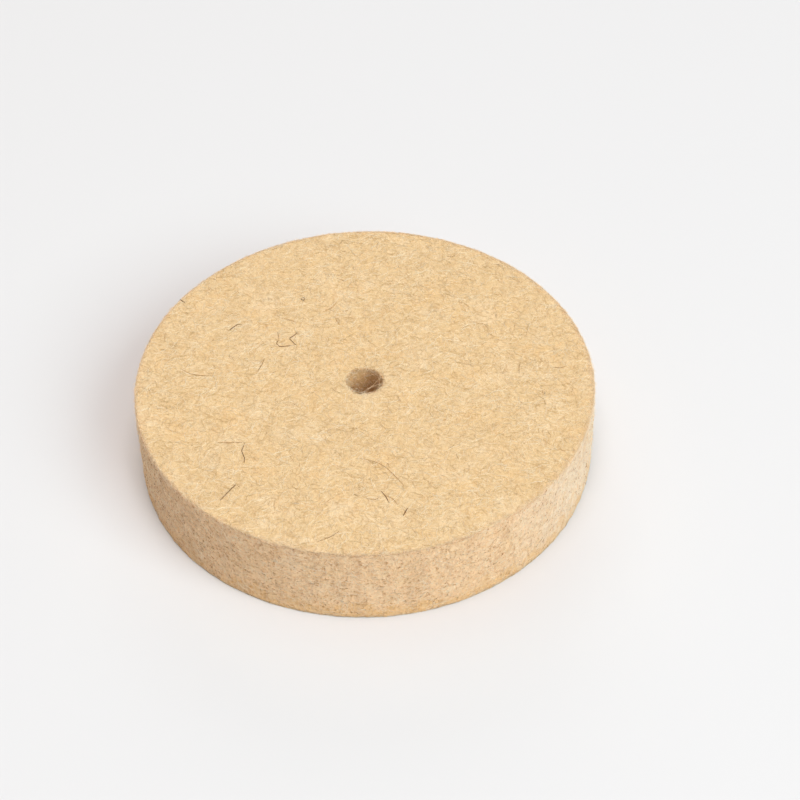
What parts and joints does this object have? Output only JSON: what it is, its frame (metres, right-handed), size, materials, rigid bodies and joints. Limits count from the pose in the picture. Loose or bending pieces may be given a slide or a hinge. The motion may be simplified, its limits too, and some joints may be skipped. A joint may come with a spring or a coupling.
{
  "type": "felt polishing wheel",
  "caption": "Flat thick disc of coarse pressed wool felt with a plain hole through its middle, for polishing stone and metal on a spindle.",
  "frame": {"origin": "middle of the spindle hole, on the lower face", "axes": "+Z along the spindle hole, from the lower face to the upper face; the wheel lies flat on its lower face"},
  "size_m": [0.125, 0.125, 0.025],
  "materials": {
    "wool_felt": "matte"
  },
  "bodies": {
    "root": {"felt_disc": "wool_felt"}
  },
  "joints": []
}
